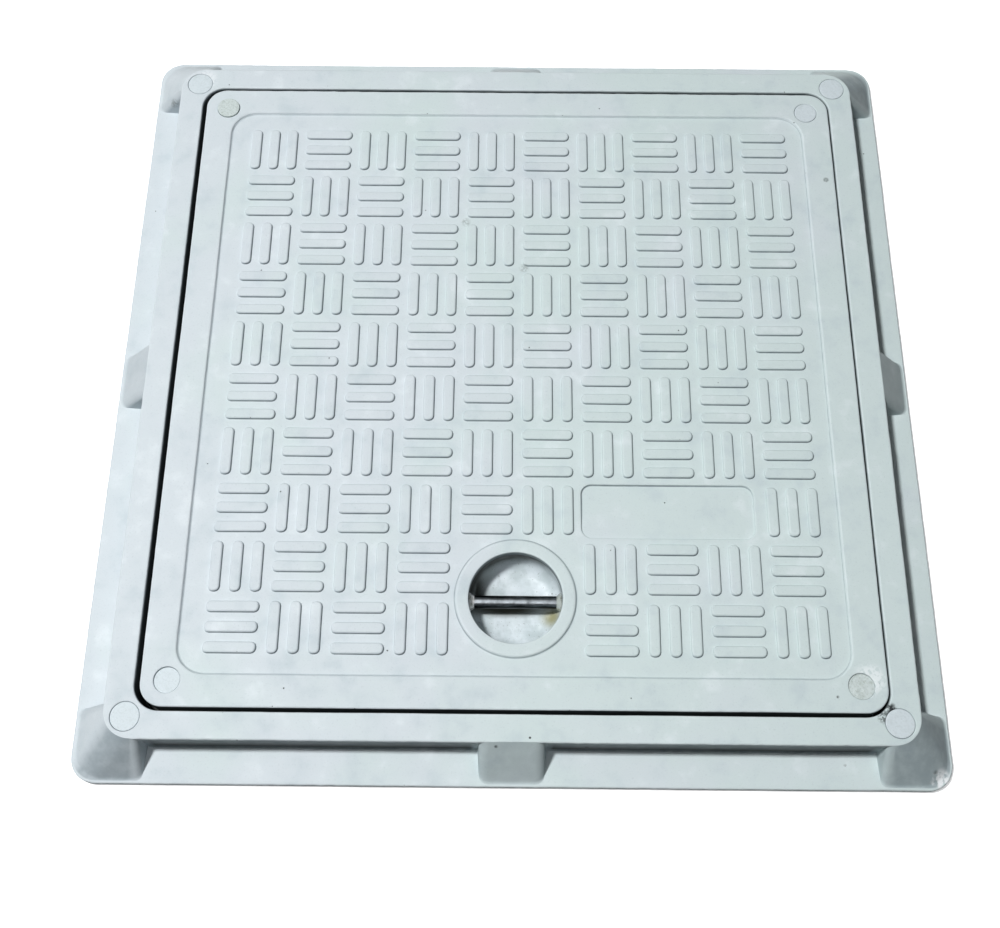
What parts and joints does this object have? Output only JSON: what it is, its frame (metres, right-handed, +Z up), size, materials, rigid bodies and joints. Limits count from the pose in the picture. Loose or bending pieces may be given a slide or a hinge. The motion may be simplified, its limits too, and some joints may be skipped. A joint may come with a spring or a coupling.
{
  "type": "manhole cover",
  "caption": "Square light-duty access cover and frame in moulded composite, with bar-block tread, a blank sunk panel and a round lifting cup crossed by a steel bar.",
  "frame": {"origin": "middle of the frame's underside, the plane that beds on the masonry", "axes": "+Z up through the cover; +Y from the lifting cup towards the plain edge; +X to the right when standing on the lifting cup's side"},
  "size_m": [0.3914, 0.3914, 0.0209],
  "materials": {
    "frame_moulding": "pale grey-green moulded glass-fibre polyester, satin",
    "cover_moulding": "pale grey-green moulded glass-fibre polyester, satin",
    "cup_moulding": "pale grey-green gel-coated polyester, glossy",
    "plug_filler": "trowelled polyester filler, matt",
    "bond_resin": "cured polyester resin, off-white, slightly yellowed",
    "bar_steel": "drawn mild steel, darkened",
    "gasket_rubber": "matt black"
  },
  "bodies": {
    "frame_body": {"frame": "frame_moulding", "seat_gasket": "gasket_rubber", "frame_plug_back_left": "plug_filler", "frame_plug_back_right": "plug_filler", "frame_plug_front_left": "plug_filler", "frame_plug_front_right": "plug_filler"},
    "cover_body": {"cover_plate": "cover_moulding", "lift_cup": "cup_moulding", "lift_bar": "bar_steel", "bar_bond_left": "bond_resin", "bar_bond_right": "bond_resin", "cover_plug_back_left": "plug_filler", "cover_plug_back_right": "plug_filler", "cover_plug_front_left": "plug_filler", "cover_plug_front_right": "plug_filler"}
  },
  "joints": [
    {"name": "cover_lift", "type": "slide", "parent": "frame_body", "child": "cover_body", "axis": [0, 0, 1], "range_m": [0, 0.06]}
  ]
}
